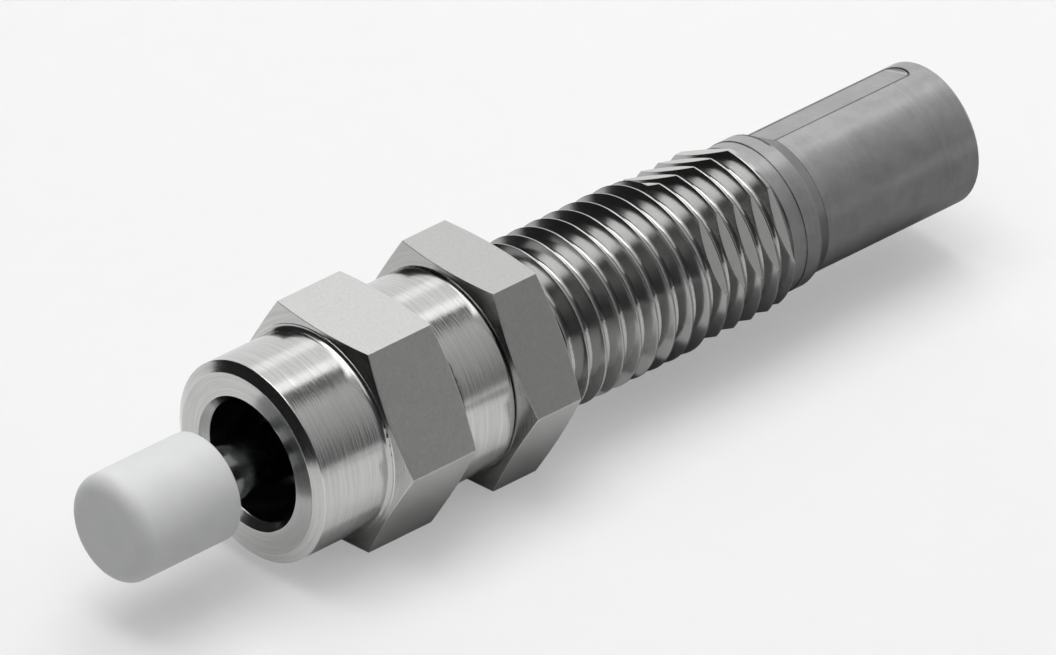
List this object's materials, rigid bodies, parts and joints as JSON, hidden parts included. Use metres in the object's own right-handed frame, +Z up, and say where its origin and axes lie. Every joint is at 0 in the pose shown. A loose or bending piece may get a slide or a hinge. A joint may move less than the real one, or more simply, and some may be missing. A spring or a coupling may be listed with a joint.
{
  "type": "industrial shock absorber",
  "caption": "Miniature threaded hydraulic shock absorber: spring-returned piston rod with a plastic buffer, screwed stop sleeve, lock nut, threaded tube with wrench flats and smooth barrel.",
  "frame": {"origin": "on the axis, in the plane of the stop sleeve's front face, where the load ends its travel", "axes": "+X along the axis from the buffer cap towards the rear of the barrel, +Z up, square to a flat of both hexagons"},
  "size_m": [0.0475, 0.0116, 0.01],
  "materials": {
    "cap_plastic": "white acetal, fine matt turning marks",
    "rod_steel": "ground and hard chromed",
    "sleeve_steel": "bright turned and nickelled",
    "nut_steel": "bright nickelled",
    "tube_steel": "turned stainless, satin barrel",
    "seal_rubber": "matt black",
    "bronze": "machined bronze",
    "inner_steel": "machined steel with an oil film",
    "foam": "closed-cell foam",
    "spring_wire": "drawn spring wire",
    "plug_steel": "turned face",
    "ball_steel": "polished ball"
  },
  "bodies": {
    "housing": {"body_tube": "tube_steel", "front_retaining_ring": "spring_wire", "rod_wiper": "seal_rubber", "guide_bush": "bronze", "guide_bush_o_ring": "seal_rubber", "rod_seal": "seal_rubber", "seal_support_washer": "inner_steel", "accumulator_foam": "foam", "piston_stop_washer": "inner_steel", "pressure_tube": "inner_steel", "return_spring": "spring_wire", "spring_seat": "inner_steel", "end_plug": "plug_steel", "end_plug_o_ring": "seal_rubber", "filler_ball": "ball_steel", "rear_retaining_ring": "spring_wire"},
    "rod": {"piston_rod": "rod_steel", "buffer_cap": "cap_plastic", "piston": "inner_steel", "piston_ring": "bronze", "disc_stop_washer": "inner_steel", "piston_nut": "inner_steel"},
    "check_disc": {"check_disc": "inner_steel"},
    "stop_sleeve": {"stop_sleeve": "sleeve_steel"},
    "lock_nut": {"lock_nut": "nut_steel"}
  },
  "joints": [
    {"name": "rod_slide", "type": "slide", "parent": "housing", "child": "rod", "axis": [1, 0, 0], "range_m": [0, 0.008], "stiffness_N_per_m": 180, "springref_m": -0.005, "deforming": ["return_spring"]},
    {"name": "check_disc_lift", "type": "slide", "parent": "rod", "child": "check_disc", "axis": [1, 0, 0], "range_m": [0, 0.0002]},
    {"name": "stop_sleeve_travel", "type": "slide", "parent": "housing", "child": "stop_sleeve", "axis": [1, 0, 0], "range_m": [-0.002, 0]},
    {"name": "lock_nut_travel", "type": "slide", "parent": "housing", "child": "lock_nut", "axis": [1, 0, 0], "range_m": [0, 0.012]}
  ]
}
